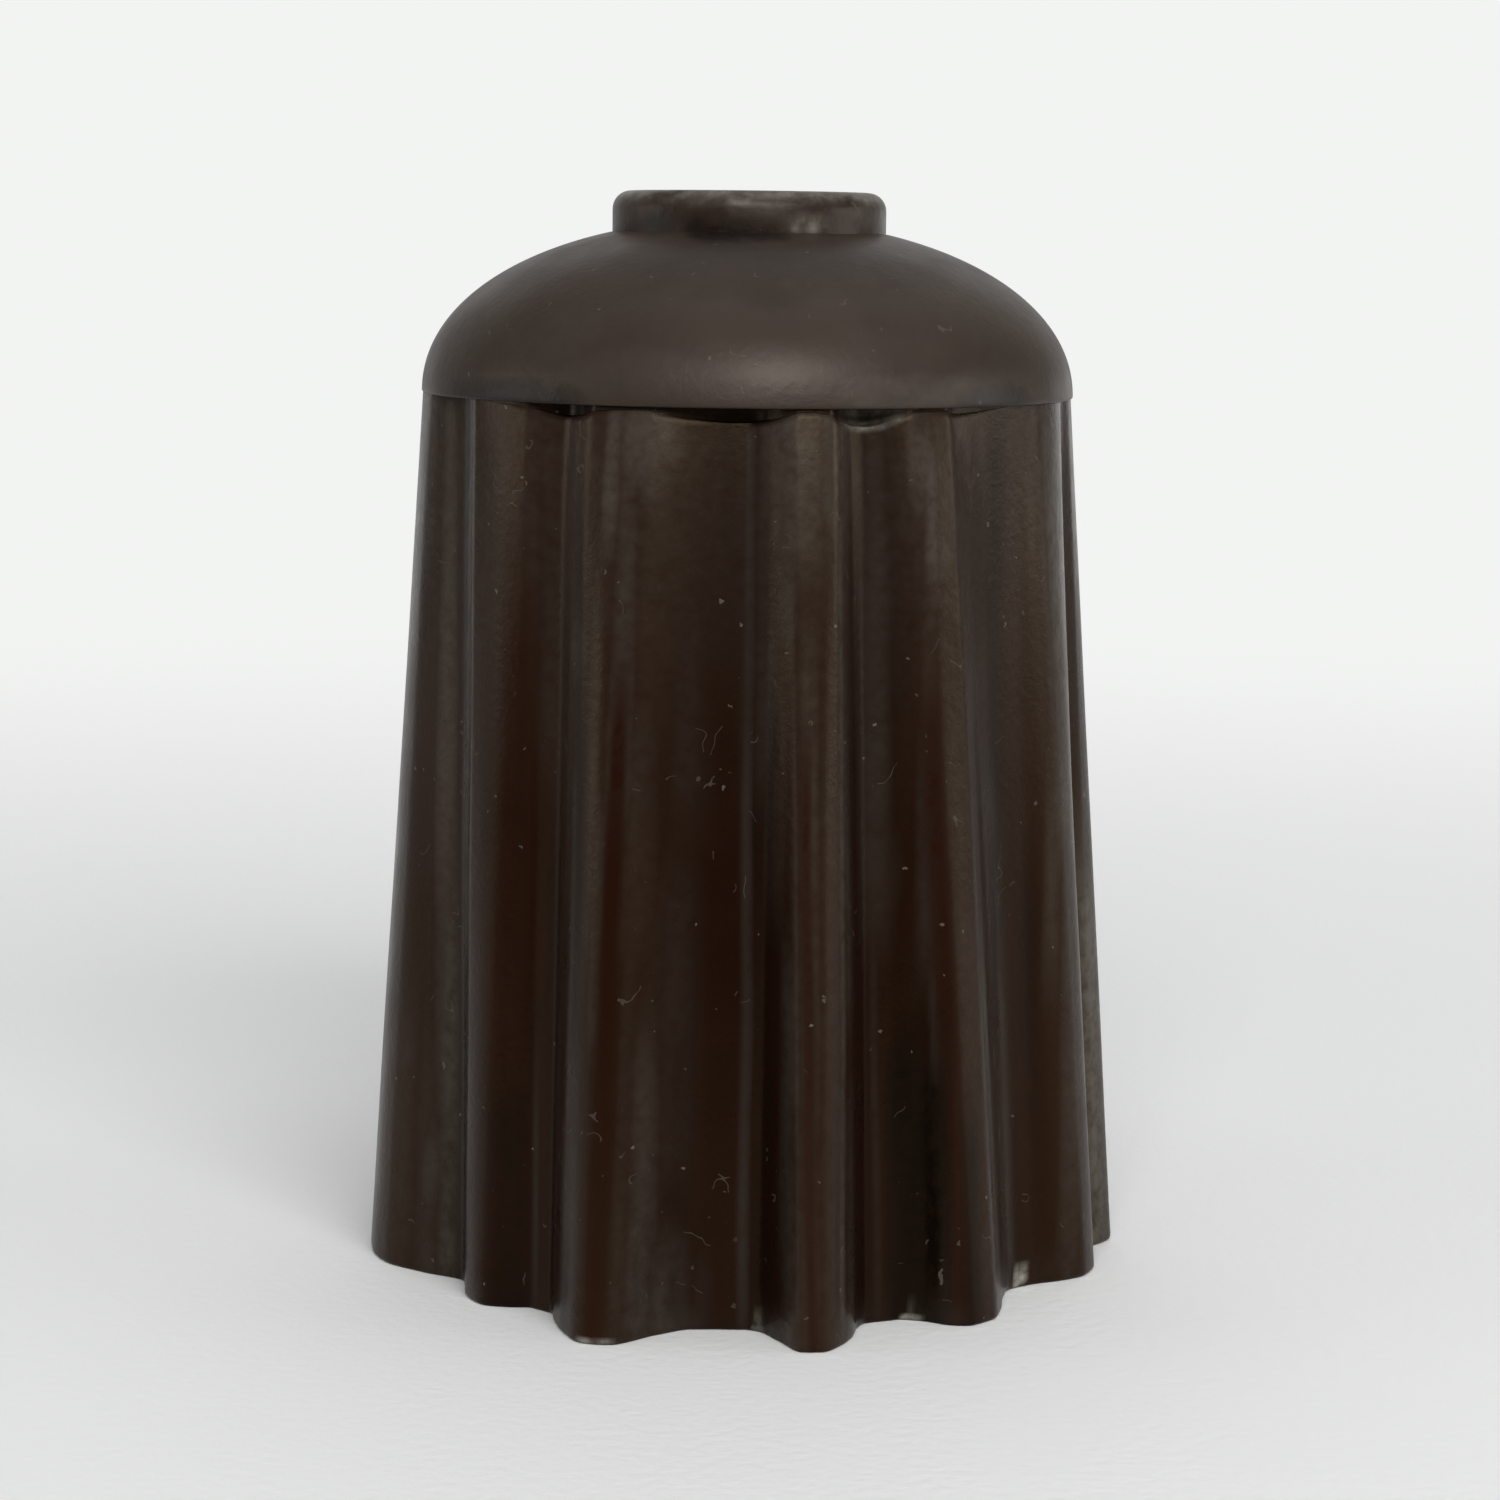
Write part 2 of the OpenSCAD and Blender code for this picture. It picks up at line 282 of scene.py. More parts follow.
def measured(piece):
    """The points of a piece, and the height and the angle from the front of each."""
    points = np.empty(len(piece.data.vertices) * 3)
    piece.data.vertices.foreach_get("co", points)
    points = points.reshape(-1, 3)
    return points, points[:, 2].copy(), np.degrees(np.arctan2(points[:, 0], -points[:, 1]))


# The blank, before it is draped: rounded hem, outside, recess under the cap, top face,
# spigot and inside. The rows of each part lie at their own heights.
HEM_ROUND, EDGE_ROUND, SPIGOT_ROUND = 0.00035, 0.0004, 0.0003
LEAN, LEAN_H = 0.00045, 0.009
SKIRT_SIDES = 960
hem_rows = [HEM_ROUND * (1 - cos(t)) for t in np.linspace(0, pi / 2, 5)]
side_rows = list(np.linspace(2 * HEM_ROUND, SKIRT_H - 2.6 * SCOOP_H, 42))
edge_rows = list(np.linspace(SKIRT_H - 2.4 * SCOOP_H, SKIRT_H - SCOOP_H, 14))
recess_rows = list(np.linspace(SKIRT_H - 0.8 * SCOOP_H, SKIRT_H, 7))
spigot_top, bore = SKIRT_H + SPIGOT_H, SPIGOT_R - SPIGOT_WALL
blank = [(FLOOR_HEM - HEM_ROUND, 0)]
blank += [(FLOOR_HEM + (FLOOR_TOP - FLOOR_HEM) * z / SKIRT_H, z)
          for z in hem_rows[1:] + side_rows + edge_rows + recess_rows]
blank += [(SPIGOT_R, SKIRT_H), (SPIGOT_R, spigot_top - SPIGOT_ROUND),
          (SPIGOT_R - SPIGOT_ROUND, spigot_top), (bore + SPIGOT_ROUND, spigot_top),
          (bore, spigot_top - SPIGOT_ROUND), (bore, SKIRT_H - SPIGOT_H)]
inside_rows = np.linspace(SKIRT_H - SPIGOT_H - 2 * SPIGOT_ROUND, SPIGOT_ROUND, 20)
blank += [(FLOOR_HEM + (FLOOR_TOP - FLOOR_HEM) * z / SKIRT_H - SKIRT_WALL, z) for z in inside_rows]
blank += [(FLOOR_HEM - SKIRT_WALL + SPIGOT_ROUND, 0)]
skirt = turned("draped_skirt", [(float(r), float(z)) for r, z in blank], SKIRT_SIDES)

# Draping: each point moves straight out from the axis by the fold at its angle
points, height, angle = measured(skirt)
radius = np.hypot(points[:, 0], points[:, 1])
floor_r = FLOOR_HEM + (FLOOR_TOP - FLOOR_HEM) * height / SKIRT_H
outside = ((radius > floor_r - SKIRT_WALL / 2) & (height < SKIRT_H + CLOSE)
           & (radius > SPIGOT_R + 10 * CLOSE))
inside = (radius < floor_r - SKIRT_WALL + HEM_ROUND) & (height < SKIRT_H - SPIGOT_H - 10 * CLOSE)

# Under the cap a groove runs along the folds and opens into a scoop over each valley, the
# one in the middle less high. They are deep in front and behind, and at the sides only a
# seam is left of them.
GROOVE_H, GROOVE_D, SCOOP_EASE = 0.00018, 0.0003, 0.0003
SEAM_H, SEAM_D = 0.00004, 0.00002
facing = np.clip(4 * (np.abs(np.cos(np.radians(angle))) - 0.62), 0, 1)
open_valley = np.sqrt(1 - np.clip(fold_height(angle, np.ones(len(angle))) / TOP_FOLD, 0, 1))
middle = 1 - 0.24 * np.exp(-(angle / 12) ** 2)
drop = facing * ((SCOOP_H - SCOOP_EASE) * middle * open_valley + GROOVE_H) + SEAM_H
depth = facing * (GROOVE_D + (SCOOP_D - GROOVE_D) * open_valley) + SEAM_D
edge_z = SKIRT_H - drop
top = outside & (height > edge_rows[0] - CLOSE) & (height < edge_rows[-1] + CLOSE)
share = np.clip((height - edge_rows[0]) / (edge_rows[-1] - edge_rows[0]), 0, 1)
height = np.where(top, edge_rows[0] + (edge_z - edge_rows[0]) * (1 - (1 - share) ** 1.6), height)
recess = outside & (points[:, 2] > edge_rows[-1] + CLOSE)
share = np.clip((points[:, 2] - recess_rows[0]) / (SKIRT_H - recess_rows[0]), 0, 1)
height = np.where(recess, edge_z + (SKIRT_H - edge_z) * (0.12 + 0.88 * share ** 1.5), height)

up = np.clip(height / SKIRT_H, 0, 1)
floor_r = FLOOR_HEM + (FLOOR_TOP - FLOOR_HEM) * up
fold = fold_height(angle, up)
UNEVEN = 0.00008
uneven = np.array([noise.noise((x * 90, y * 90, z * 28)) + 0.5 * noise.noise((x * 240, y * 240, z * 60))
                   for x, y, z in points])
# Both ends of the folds are rubbed round, and the tops of the folds in front and behind
# lean in towards the groove. Inside, the hem's edge is rounded too.
HEM_IN, HEM_IN_H = 0.0002, 0.0006
hem_in = HEM_ROUND - np.sqrt(np.maximum(0, HEM_ROUND ** 2 - np.maximum(0, HEM_ROUND - height) ** 2))
edge_in = np.clip(1 - (edge_z - height) / EDGE_ROUND, 0, 1) ** 2 * EDGE_ROUND * 0.4 * facing
edge_in *= 1 - 0.9 * open_valley
lean = LEAN * facing * np.clip(1 - (SKIRT_H - height) / LEAN_H, 0, 1) ** 2
out = fold + UNEVEN * uneven - hem_in - lean - np.where(recess, np.maximum(0, depth - lean), edge_in)
rim = np.clip(height / HEM_IN_H, 0, 1)
inner_r = floor_r - SKIRT_WALL + INNER_SHARE * fold + HEM_IN * (1 - rim)
out = np.where(outside, floor_r + out, np.where(inside, inner_r, radius))
points[:, 0] *= out / radius
points[:, 1] *= out / radius
points[:, 2] = height
skirt.data.vertices.foreach_set("co", points.ravel())
skirt.data.update()
bpy.ops.object.shade_smooth_by_angle(angle=radians(50))

# Streaks follow the folds, each kind partly wear and partly painted light. Pale ones carry a
# film and painted highlights and reflections, bare ones show the reddish plastic with painted
# shade where little light is reflected, and dark ones hold grime and painted shade in the
# deepest valleys. Each streak has an angle at the hem and at the cap, a half width in degrees,
# a lowest and a highest point as shares of the skirt's height, and a strength.
STREAKS = {
    "pale_wear_and_highlight": [
        (-71, -71.5, 3.5, 0.75, 1.1, 1), (-66, -67, 3, -0.1, 0.35, 0.5),
        (-70.5, -72, 3, -0.1, 0.4, 0.4), (-62, -65.5, 3, -0.1, 1.1, 1),
        (-58.6, -56.5, 3, 0.3, 1, 1), (-65.5, -65, 2.2, -0.1, 0.2, 0.8),
        (-55, -57, 2.5, 0.35, 0.9, 0.9), (-38.5, -38.5, 2.5, 0.72, 1.1, 0.35),
        (-37.4, -36.8, 0.9, -0.1, 0.34, 0.5), (-34.6, -35.4, 4, 0.55, 1.1, 0.3),
        (-27.4, -28.5, 1.2, -0.1, 0.3, 0.5), (-24.4, -26.3, 2.4, -0.1, 0.3, 0.3),
        (-22.6, -22.8, 2.2, 0.8, 1.1, 0.85), (-21.8, -22.3, 1.4, 0.25, 0.62, 0.35),
        (-19.5, -19.5, 2.8, 0.5, 1.1, 0.45), (-14.6, -14.6, 2.2, -0.1, 0.4, 0.6),
        (-10.5, -10.5, 4.5, 0.1, 0.58, 0.22), (-16.4, -16.4, 3.4, 0.35, 0.75, 0.22),
        (-14, -17, 8, 0.86, 1.1, 0.9), (-12.5, -12.5, 2.4, -0.1, 0.14, 0.6),
        (-8.5, -8.5, 5, 0.5, 1.1, 0.25), (0.6, 0.4, 1.3, -0.1, 1.1, 0.85),
        (0.2, 0, 1.8, 0.55, 1.1, 0.45), (3.6, 3, 2.8, 0.56, 1.1, 0.5),
        (6.8, 6.3, 2, 0.7, 1.1, 0.8), (6.8, 6.3, 2, 0.45, 0.75, 0.15),
        (4.5, 4.2, 3.5, 0.8, 1.1, 0.8), (5.5, 4.8, 1.8, 0.42, 0.9, 0.3),
        (9, 8.2, 6, 0.78, 1.1, 1), (9.8, 9.8, 1.8, -0.1, 0.85, 0.45),
        (7.4, 6.9, 1.5, -0.1, 0.5, 0.55), (9.6, 9, 1.4, 0.4, 0.85, 0.5),
        (12.5, 13.2, 2.8, -0.1, 0.85, 0.25), (13, 13.2, 2.8, 0.8, 1.1, 0.9),
        (15, 15.5, 0.8, -0.1, 1, 0.8), (17, 17, 1.6, 0.3, 1.1, 0.55),
        (22.5, 21.5, 2.5, 0.5, 1.1, 0.3), (24.6, 20.3, 1, -0.1, 0.58, 0.3),
        (24, 22, 4, 0.38, 1.1, 0.5), (29.5, 29.3, 3, 0.84, 1.1, 1),
        (31.5, 30.5, 2, 0.35, 0.9, 0.4), (31.5, 31.2, 2, 0.75, 1.1, 0.9),
        (33.4, 28.4, 0.5, -0.1, 0.46, 0.6), (39.6, 31.6, 4, -0.1, 1, 0.3),
        (36, 33.5, 3, 0.75, 1.1, 0.6), (45, 35.3, 1.2, -0.1, 0.45, 0.9),
        (58, 57, 3, 0.75, 1.1, 0.3), (56, 44, 1.6, -0.1, 0.35, 0.5),
        (60, 56.5, 2.5, 0.7, 1.1, 0.45), (70.5, 61.5, 4.5, 0.45, 1.1, 0.85),
        (87, 85, 4, -0.1, 0.6, 1), (63, 61, 2, 0.3, 0.75, 0.4), (66.5, 66, 2.5, -0.1, 0.75, 0.5),
        (17.5, 17, 2, -0.1, 0.35, 0.4), (122, 124, 4, 0.3, 1.1, 0.7),
        (149, 147, 3.5, -0.1, 1, 0.6), (174, 173, 4, 0.2, 1.1, 0.7),
        (-153, -150, 4, -0.1, 0.8, 0.6), (-122, -124, 4, 0.4, 1.1, 0.8),
        (-102, -103, 4, -0.1, 1, 0.6), (136, 137, 3, 0.5, 1.1, 0.4),
        (-170, -170, 3, 0.6, 1.1, 0.5), (104, 103, 3, -0.1, 0.6, 0.4),
        (-130, -131, 2, -0.1, 0.7, 0.5), (156, 155, 2, 0.4, 1.1, 0.5),
        (115, 117, 2, -0.1, 0.8, 0.4), (80, 62, 5, -0.1, 1.1, 1), (80, 71, 4, 0.55, 1.1, 0.9),
        (68, 64, 3.5, 0.6, 1.05, 1), (45, 40, 4, -0.1, 0.3, 0.45), (54, 46, 3, -0.1, 0.32, 0.4),
        (-24, -24.5, 1.8, 0.35, 0.9, 0.3),
    ],
    "bare_red_and_shade": [
        (-41.6, -42.3, 4.8, -0.1, 0.86, 0.9), (-20.2, -19.3, 1.7, -0.1, 0.74, 1),
        (-3.8, -3.4, 5.5, -0.1, 0.8, 0.7), (10, 8.5, 1.1, -0.1, 0.7, 0.9),
        (19.7, 17.4, 2.2, -0.1, 0.9, 0.65), (35.3, 29, 2.2, -0.1, 0.76, 0.8),
        (109, 108, 3, -0.1, 0.8, 0.7), (137, 138, 3.5, -0.1, 0.7, 0.8),
        (163, 162, 3.5, -0.1, 0.6, 0.8), (-171, -170, 3, -0.1, 0.5, 0.7),
        (-138, -136, 4, -0.1, 0.7, 0.8), (-110, -108, 4, -0.1, 0.8, 0.7),
    ],
    "grime_and_shade": [
        (-41.5, -41.5, 5, -0.1, 0.36, 1), (-33.5, -34, 3, -0.1, 0.6, 0.5),
        (-45, -45.5, 4, 0.45, 1.1, 0.3), (-26.6, -26.6, 2.6, 0.3, 0.95, 0.4),
        (-4, -4, 5.5, -0.1, 0.42, 0.45), (4, 3, 2.8, -0.1, 0.42, 0.45),
        (19.8, 18, 2.4, 0, 0.85, 0.4), (28.8, 27, 4, -0.1, 0.4, 1),
        (31.5, 29.5, 3.4, -0.1, 0.36, 1), (27.5, 26.4, 2.4, 0.3, 0.6, 0.4),
        (51, 47.5, 4, 0.35, 1.1, 0.8), (-40.5, -39, 2, -0.1, 0.3, 0.6),
        (46, 43.5, 5, 0.45, 1.1, 0.35), (37.2, 37, 2.5, -0.1, 0.3, 0.6),
        (61.4, 52.4, 3.2, -0.1, 0.6, 0.5),
    ],
    "chips_and_glints": [
        (87, 85, 4, -0.1, 0.5, 0.12), (-55.5, -57.5, 2.5, 0.35, 0.95, 0.12),
        (68, 64, 3, 0.62, 0.95, 0.08), (-62, -63, 2, -0.1, 0.5, 0.05),
    ],
}
ripple = np.array([noise.noise((7, x * 160, z * 60)) for x, y, z in points])
blotch = np.array([noise.fractal((x * 60 + 3, y * 60, z * 34), 0.8, 2.2, 4) for x, y, z in points])
share = np.clip(fold / (HEM_FOLD * (1 - up) + TOP_FOLD * up), 0, 1)
# How sharply the surface bends at each point, out on the crests and in at the feet
BEND_STEP, SHARP = 1.2, 0.0004
bend = 2 * fold - fold_height(angle - BEND_STEP, up) - fold_height(angle + BEND_STEP, up)
bend /= SHARP
# Paler towards the top, a painted sheen of the light from above with some film from handling, and paler
# along the hem. Crests are painted paler and valleys and creases darker: partly wear and grime, partly
# painted highlight and shade.
handled_and_lit = 0.34 * np.clip((up - 0.5) / 0.42, 0, 1) + 0.2 * np.clip(1 - up / 0.05, 0, 1)
paint = {"pale_wear_and_highlight": np.maximum(0.28 * np.clip(bend, 0, 1), handled_and_lit),
         "bare_red_and_shade": 0 * fold, "chips_and_glints": 0 * fold,
         "grime_and_shade": 0.35 * (1 - share) ** 2 + 0.25 * np.clip(-bend, 0, 1)}
for kind, streaks in STREAKS.items():
    for at_hem, at_cap, half, lowest, highest, strength in streaks:
        off = angle - (at_hem + (at_cap - at_hem) * up) - 0.5 * ripple
        across = np.clip(1 - (off / half) ** 2, 0, 1)
        along = (np.clip((up - lowest) / 0.1, 0, 1)
                 * np.clip((highest - up + 0.05 * blotch) / 0.12, 0, 1))
        cloudy = np.clip(0.95 + 0.5 * blotch, 0, 1.2)
        paint[kind] = np.maximum(paint[kind], strength * across * along * cloudy)
# Cloudy smudges, partly wear and partly painted highlight, and chips: angle, height, half
# width in degrees, half height and strength
SMUDGES = {
    "pale_wear_and_highlight": [
        (-11, 0.004, 3.4, 0.0055, 0.45), (-6, 0.0035, 2, 0.003, 0.4), (-65, 0.009, 3, 0.006, 1),
        (25, 0.036, 2.6, 0.004, 0.3), (-28, 0.0535, 2.4, 0.0025, 0.5), (33, 0.0005, 4, 0.0008, 0.8),
        (6, 0.0008, 3, 0.0009, 0.6), (-48, 0.0006, 6, 0.0008, 0.6), (-10, 0.0004, 8, 0.0008, 0.7),
    ],
    "chips_and_glints": [
        (59, 0.0011, 1.5, 0.0010, 1), (57.6, 0.0004, 1, 0.0006, 1), (30, 0.0002, 1.6, 0.0005, 0.7),
        (-20.5, 0.0002, 3, 0.0004, 0.6), (3, 0.0003, 1.2, 0.0006, 0.6),
    ],
}


def dabbed(spots, angle, height, blotch):
    """Strength of soft round patches at each point, with edges broken up by a blotch."""
    amount = 0 * height
    for at, level, half, tall, strength in spots:
        far = ((angle - at) / half) ** 2 + ((height - level) / tall) ** 2
        amount = np.maximum(amount, strength * np.clip(1.2 - far + 0.6 * blotch, 0, 1))
    return amount


def painted(piece, paint):
    """Stores each kind of wear and painted light with the points of a piece, for its material."""
    for kind, amount in paint.items():
        layer = piece.data.attributes.new(kind, "FLOAT", "POINT")
        layer.data.foreach_set("value", np.clip(amount, 0, 1).astype(np.float32))


for kind, spots in SMUDGES.items():
    paint[kind] = np.maximum(paint[kind], dabbed(spots, angle, height, blotch))
# The recess under the cap is painted paler to lift its shade, with the reddish bare plastic,
# and darkest in the scoop on the left, a painted shade with some dirt. The scoop on the right
# is torn, and its two raised lips are painted pale as glints. Along the edge of the other open
# valleys the lip is painted darker, a painted shade over its highlight.
torn = np.clip(1 - ((angle - 22.5) / 7.5) ** 4, 0, 1)
under = np.clip((height - edge_z) / (SKIRT_H - edge_z), 0, 1)
left_scoop = np.clip(1 - ((angle + 31) / 6) ** 4, 0, 1)
paint["pale_wear_and_highlight"] = np.where(recess, 0.45 + 0.3 * torn, paint["pale_wear_and_highlight"])
paint["bare_red_and_shade"] = np.where(recess, 0.45 * (1 - torn) + 0.4 * left_scoop, paint["bare_red_and_shade"])
paint["grime_and_shade"] = np.where(recess, 0.8 * left_scoop, paint["grime_and_shade"])
lip = np.clip(1 - np.abs(edge_z - height) / 0.0005, 0, 1)
upper_lip = torn * np.clip(1 - np.abs(under - 0.75) / 0.3, 0, 1)
paint["bare_red_and_shade"] = np.maximum(paint["bare_red_and_shade"], 0.8 * lip * (1 - torn) * open_valley)
paint["grime_and_shade"] = np.maximum(paint["grime_and_shade"], 0.85 * lip * (1 - torn) * open_valley)
lip_glints = 0.4 * lip * torn * open_valley + 0.35 * np.where(recess, upper_lip, 0)
paint["chips_and_glints"] = np.maximum(paint["chips_and_glints"], lip_glints)
painted(skirt, {kind: np.where(outside, amount, 0) for kind, amount in paint.items()})

# Kinds of wear and painted light, with their colours and how patchy they are: pale film and
# highlight, red bare plastic and shade, grime and shade, pale chips and glints
WEAR_AND_LIGHT = (("pale_wear_and_highlight", (0.063, 0.0505, 0.0400), 0.5), ("bare_red_and_shade", (0.018, 0.0052, 0.0026), 0.3),
        ("grime_and_shade", (0.0030, 0.0012, 0.0009), 0.2), ("chips_and_glints", (0.42, 0.40, 0.34), 0.9))
# Dust specks lie in a few of many small cells: stretch, cells to the metre, the share of
# cells that stay clean, and how far a speck reaches in its cell
SPECKS = (((1, 1, 1), 1250, 0.90, 0.21), ((1, 1, 1), 760, 0.965, 0.17),
          ((1, 1, 0.25), 800, 0.955, 0.16), ((0.5, 0.5, 2), 620, 0.965, 0.14))
DUST, FIBRE = (0.13, 0.11, 0.088), (0.12, 0.10, 0.08)


def satin_plastic(name, colour, rough, gloss_level, gloss_tint):
    """Dark moulded plastic with a cloudy film, wear and painted light, dust specks and fibres."""
    material = bpy.data.materials.new(name)
    material.use_nodes = True
    nodes, links = material.node_tree.nodes, material.node_tree.links
    shader = nodes["Principled BSDF"]
    place = nodes.new("ShaderNodeTexCoord")

    def stretched(scale):
        mapping = nodes.new("ShaderNodeMapping")
        mapping.inputs["Scale"].default_value = scale
        links.new(place.outputs["Object"], mapping.inputs["Vector"])
        return mapping.outputs["Vector"]

    def cloud(scale, size, detail, low, high):
        grain = nodes.new("ShaderNodeTexNoise")
        grain.inputs["Scale"].default_value = size
        grain.inputs["Detail"].default_value = detail
        grain.inputs["Roughness"].default_value = 0.6
        links.new(stretched(scale), grain.inputs["Vector"])
        span = nodes.new("ShaderNodeMapRange")
        span.inputs["From Min"].default_value = low
        span.inputs["From Max"].default_value = high
        links.new(grain.outputs["Fac"], span.inputs["Value"])
        return span.outputs["Result"]

    film = cloud((1, 1, 0.35), 70, 5, 0.35, 0.75)
    tint = nodes.new("ShaderNodeMix")
    tint.data_type = "RGBA"
    tint.inputs["A"].default_value = (*colour, 1)
    tint.inputs["B"].default_value = (colour[0] * 1.45, colour[1] * 1.5, colour[2] * 1.5, 1)
    links.new(film, tint.inputs["Factor"])
    tone = tint.outputs["Result"]
    crumbs = cloud((1, 1, 1), 900, 4, 0.25, 0.65)

    def covered(tone, share, shade):
        layer = nodes.new("ShaderNodeMix")
        layer.data_type = "RGBA"
        layer.inputs["B"].default_value = (*shade, 1)
        links.new(share, layer.inputs["Factor"])
        links.new(tone, layer.inputs["A"])
        return layer.outputs["Result"]

    def combined(kind, one, other):
        math_node = nodes.new("ShaderNodeMath")
        math_node.operation = kind
        for socket, value in zip(math_node.inputs, (one, other)):
            if isinstance(value, float):
                socket.default_value = value
            else:
                links.new(value, socket)
        return math_node.outputs["Value"]

    # Layers of wear and painted light, each laid over the last
    for kind, shade, patchy in WEAR_AND_LIGHT:
        stored_layer = nodes.new("ShaderNodeAttribute")
        stored_layer.attribute_name = kind
        broken = nodes.new("ShaderNodeMapRange")
        broken.inputs["To Min"].default_value = 1 - patchy
        broken.inputs["To Max"].default_value = 1 + patchy / 3
        links.new(crumbs, broken.inputs["Value"])
        tone = covered(tone, combined("MULTIPLY", stored_layer.outputs["Fac"], broken.outputs["Result"]), shade)
    # Each speck has a ragged outline and a strength of its own
    ragged = nodes.new("ShaderNodeTexNoise")
    ragged.inputs["Scale"].default_value = 2600
    links.new(place.outputs["Object"], ragged.inputs["Vector"])
    shifted = nodes.new("ShaderNodeVectorMath")
    shifted.operation = "MULTIPLY_ADD"
    shifted.inputs[1].default_value = (0.0007, 0.0007, 0.0007)
    links.new(ragged.outputs["Color"], shifted.inputs[0])
    links.new(place.outputs["Object"], shifted.inputs[2])
    for scale, size, clean, reach in SPECKS:
        cells = nodes.new("ShaderNodeTexVoronoi")
        cells.inputs["Scale"].default_value = size
        spread = nodes.new("ShaderNodeMapping")
        spread.inputs["Scale"].default_value = scale
        links.new(shifted.outputs["Vector"], spread.inputs["Vector"])
        links.new(spread.outputs["Vector"], cells.inputs["Vector"])
        chosen = nodes.new("ShaderNodeSeparateColor")
        links.new(cells.outputs["Color"], chosen.inputs["Color"])
        near = combined("LESS_THAN", cells.outputs["Distance"],
                        combined("MULTIPLY", chosen.outputs["Blue"], reach))
        specks = combined("MULTIPLY", near, combined("GREATER_THAN", chosen.outputs["Red"], clean))
        tone = covered(tone, combined("MULTIPLY", specks, chosen.outputs["Green"]), DUST)
    # Fibres: short stretches of thin winding lines
    winding = cloud((1, 1, 1), 240, 2, 0, 1)
    off_line = combined("ABSOLUTE", combined("SUBTRACT", winding, 0.5), 0.0)
    line = combined("LESS_THAN", off_line, 0.005)
    stretch = combined("GREATER_THAN", cloud((1, 1, 1), 330, 1, 0, 1), 0.67)
    fibre = combined("MULTIPLY", line, stretch)
    tone = covered(tone, combined("MULTIPLY", fibre, 0.4), FIBRE)
    links.new(tone, shader.inputs["Base Color"])
    dull = cloud((1, 1, 1), 160, 6, 0.3, 0.7)
    gloss = nodes.new("ShaderNodeMapRange")
    gloss.inputs["To Min"].default_value = rough - 0.05
    gloss.inputs["To Max"].default_value = rough + 0.07
    links.new(dull, gloss.inputs["Value"])
    links.new(gloss.outputs["Result"], shader.inputs["Roughness"])
    bump = nodes.new("ShaderNodeBump")
    bump.inputs["Strength"].default_value = 0.12
    bump.inputs["Distance"].default_value = 0.0002
    links.new(cloud((1, 1, 1), 1400, 3, 0.2, 0.8), bump.inputs["Height"])
    links.new(bump.outputs["Normal"], shader.inputs["Normal"])
    shader.inputs["Specular IOR Level"].default_value = gloss_level
    shader.inputs["Specular Tint"].default_value = (*gloss_tint, 1)
    return material


skirt_plastic = satin_plastic("skirt_satin_plastic", (0.0147, 0.0050, 0.0018), 0.29, 0.12,
                              (1, 0.76, 0.47))
skirt.data.materials.append(skirt_plastic)
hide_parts("skirt")
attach(skirt, "root")

# ---------------------------------------------------------------- shoulder cap
# The smooth dome over the skirt, of the same plastic, moulded apart and cemented on. Its
# rim drops over the spigot, flush with the tops of the folds.
CAP_RISE, DOME_POWER, CROWN_WALL = 0.01435, 2.1, 0.0026
CAP_GAP, COLLAR_GAP, RIM_CLEAR, SEAT_SINK = 0.0001, 0.00008, 0.0003, 0.00025
COLLAR_R, BORE_R, TAIL_WALL = 0.01125, 0.00725, 0.0016
lip_bore = SPIGOT_R + CAP_GAP
rim_z = SPIGOT_H + RIM_CLEAR
inner_rise = CAP_RISE - CROWN_WALL - rim_z
neck_bore = BORE_R + TAIL_WALL + COLLAR_GAP
seat_r = COLLAR_R + COLLAR_GAP


def dome(r):
    """Height of the dome's outside above its rim at a radius."""
    return CAP_RISE * (1 - (r / CAP_R) ** DOME_POWER) ** (1 / DOME_POWER)


seat_z = SKIRT_H + dome(seat_r) - SEAT_SINK
RIM_ROUND, NECK_STEP = 0.0002, 0.0002
CAP_SIDES = 480
outline = [(CAP_R - RIM_ROUND * (1 - sin(t)), SKIRT_H + RIM_ROUND * (1 - cos(t)))
           for t in np.linspace(0, pi / 2, 6)]
for t in np.linspace(0, pi / 2, 120):
    r, z = CAP_R * cos(t) ** (2 / DOME_POWER), CAP_RISE * sin(t) ** (2 / DOME_POWER)
    if z > 2 * RIM_ROUND and r > seat_r + NECK_STEP / 2:
        outline.append((r, SKIRT_H + z))
outline += [(seat_r, SKIRT_H + dome(seat_r)), (seat_r, seat_z), (neck_bore, seat_z)]
inner = [(lip_bore * cos(t) ** (2 / DOME_POWER),
          SKIRT_H + rim_z + inner_rise * sin(t) ** (2 / DOME_POWER))
         for t in np.linspace(pi / 2, 0, 32)]
inner = [point for point in inner if point[0] > neck_bore + NECK_STEP]
outline.append((neck_bore, inner[0][1] + NECK_STEP))
outline += inner + [(lip_bore, SKIRT_H)]
cap = turned("shoulder_dome", [(float(r), float(z)) for r, z in outline], CAP_SIDES)
bpy.ops.object.shade_smooth_by_angle(angle=radians(50))
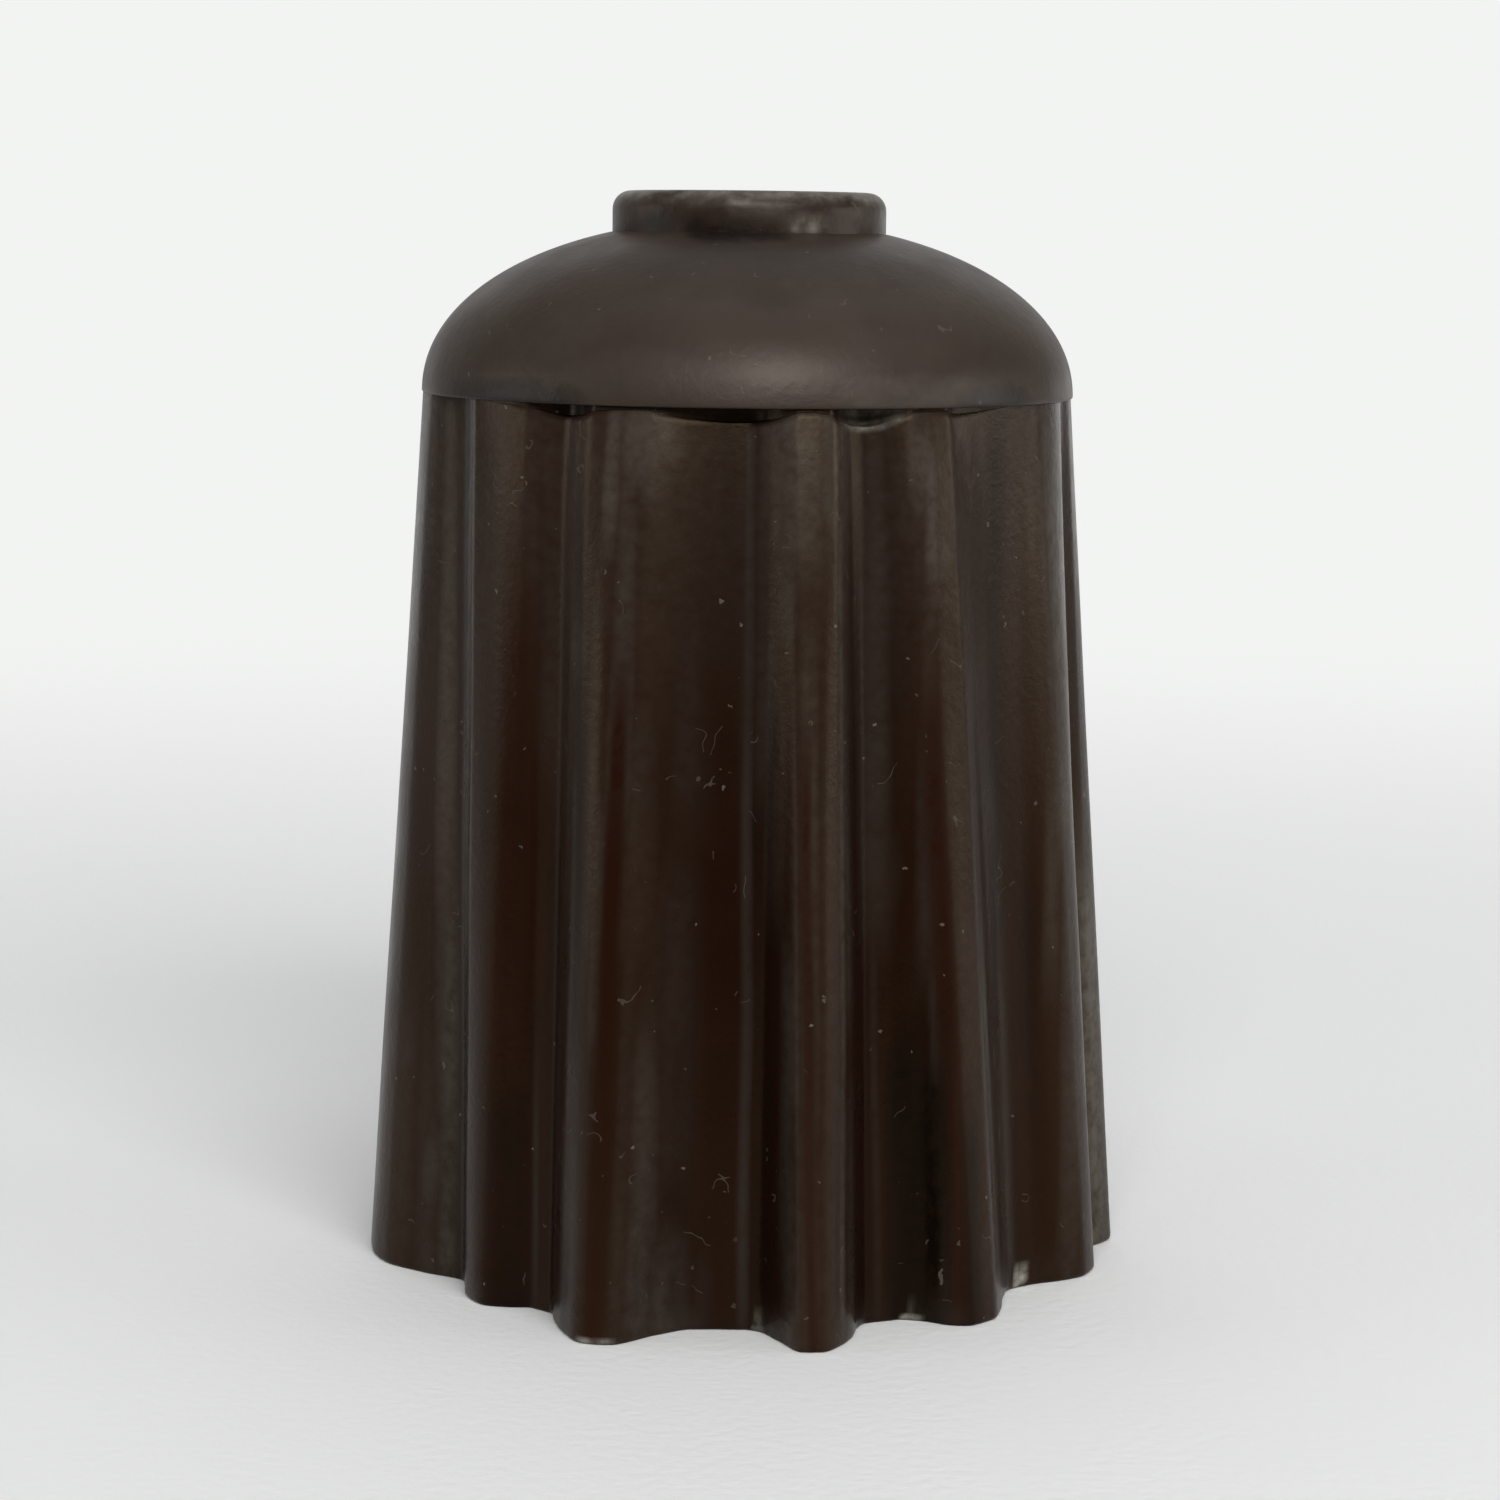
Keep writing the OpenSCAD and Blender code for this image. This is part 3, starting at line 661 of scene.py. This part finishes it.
# Pale patches low in front and on its shoulders are painted highlights with some film from
# handling. Dark patches at the foot of the collar and on the crown are a painted shadow and
# shade, and along the rim a painted shade over its gloss, with some grime.
points, height, angle = measured(cap)
blotch = np.array([noise.fractal((x * 150 + 3, y * 150, z * 190), 0.7, 2.2, 5) for x, y, z in points])
SMUDGES = {
    "pale_wear_and_highlight": [
        (-20, 0.0745, 14, 0.0022, 0.30), (5, 0.0752, 10, 0.0020, 0.6), (28, 0.0731, 16, 0.0017, 1),
        (-38, 0.0772, 12, 0.0024, 0.3), (5, 0.0732, 14, 0.0007, 0.35), (24, 0.0765, 14, 0.0022, 0.25),
        (52, 0.0800, 14, 0.0040, 0.3), (-58, 0.0790, 14, 0.0045, 0.3),
    ],
    "grime_and_shade": [
        (-44, 0.0725, 18, 0.0014, 0.85), (-46, 0.0719, 22, 0.0008, 1), (45, 0.0725, 12, 0.0014, 0.75),
        (-2, 0.0853, 26, 0.0010, 0.9), (2, 0.0825, 48, 0.0030, 0.33),
    ],
}
painted(cap, {kind: dabbed(spots, angle, height, blotch) for kind, spots in SMUDGES.items()})
# The dome's colour is paler and greyer than the skirt's: partly a film, partly a painted sheen of the
# light from above.
cap_plastic = satin_plastic("cap_satin_plastic", (0.0365, 0.0255, 0.0194), 0.42, 0.27,
                            (1, 0.90, 0.80))
cap.data.materials.append(cap_plastic)
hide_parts("shoulder_cap")
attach(cap, "root")

# ---------------------------------------------------------------- collar ring
# A short ring of the same plastic, its upper edge rubbed round. A tail below it is
# cemented into the neck of the dome.
COLLAR_H, COLLAR_EDGE, TAIL_H = 0.0036, 0.0015, 0.0024
INNER_EDGE, ROW_STEP, COLLAR_SIDES = 0.0006, 0.0006, 360
tail_r = BORE_R + TAIL_WALL
ring = [(tail_r, seat_z - TAIL_H), (tail_r, seat_z), (COLLAR_R, seat_z)]
ring += [(COLLAR_R, seat_z + ROW_STEP * k) for k in (1, 2, 3)]
ring += [(COLLAR_R - COLLAR_EDGE * (1 - cos(t)), seat_z + COLLAR_H - COLLAR_EDGE * (1 - sin(t)))
         for t in (pi / 2 * k / 10 for k in range(11))]
ring += [(BORE_R + INNER_EDGE * (1 - sin(t)), seat_z + COLLAR_H - INNER_EDGE * (1 - cos(t)))
         for t in (pi / 2 * k / 6 for k in range(7))]
ring += [(BORE_R, seat_z - TAIL_H)]
collar = turned("neck_ring", [(float(r), float(z)) for r, z in ring], COLLAR_SIDES)
bpy.ops.object.shade_smooth_by_angle(angle=radians(50))
# Its upper outer edge is worn pale all round. In front and at the sides pale patches are
# painted glints with some scuffs, and dark patches low down are painted shade with some grime.
# The smudges give their height above the collar's foot.
WORN_H, FACE_R, FACE_FADE = 0.0013, 0.0086, 0.0012
SMUDGES = {
    "pale_wear_and_highlight": [
        (23, 0.0011, 11, 0.0010, 1), (-62, 0.0021, 20, 0.0014, 0.8), (66, 0.0020, 20, 0.0018, 1),
        (5, 0.0021, 18, 0.0007, 0.7), (-14, 0.0029, 16, 0.0005, 0.8), (-20, 0.0026, 14, 0.0006, 0.5),
    ],
    "grime_and_shade": [
        (-40, 0.0010, 13, 0.0013, 0.85), (-10, 0.0005, 24, 0.0009, 0.7), (2, 0.0001, 20, 0.0006, 0.8),
    ],
    "chips_and_glints": [
        (23, 0.0009, 9, 0.0004, 0.35), (-6, 0.0027, 7, 0.0003, 0.2), (62, 0.0032, 20, 0.0004, 0.2),
    ],
}
points, height, angle = measured(collar)
height -= seat_z
blotch = np.array([noise.fractal((x * 420 + 3, y * 420, z * 900), 0.7, 2.2, 5) for x, y, z in points])
edge = np.clip(1 - (COLLAR_H - height) / WORN_H, 0, 1)
edge *= np.clip((np.hypot(points[:, 0], points[:, 1]) - FACE_R) / FACE_FADE, 0.2, 1)
paint = {kind: dabbed(spots, angle, height, blotch) for kind, spots in SMUDGES.items()}
paint["pale_wear_and_highlight"] = np.maximum(paint["pale_wear_and_highlight"], edge * (0.9 + blotch))
paint["chips_and_glints"] = np.maximum(paint["chips_and_glints"], 0.2 * edge * (0.8 + blotch))
painted(collar, paint)
collar_plastic = satin_plastic("collar_satin_plastic", (0.0230, 0.0142, 0.0105), 0.36, 0.19,
                               (1, 0.90, 0.80))
collar.data.materials.append(collar_plastic)
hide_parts("collar_ring")
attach(collar, "root")
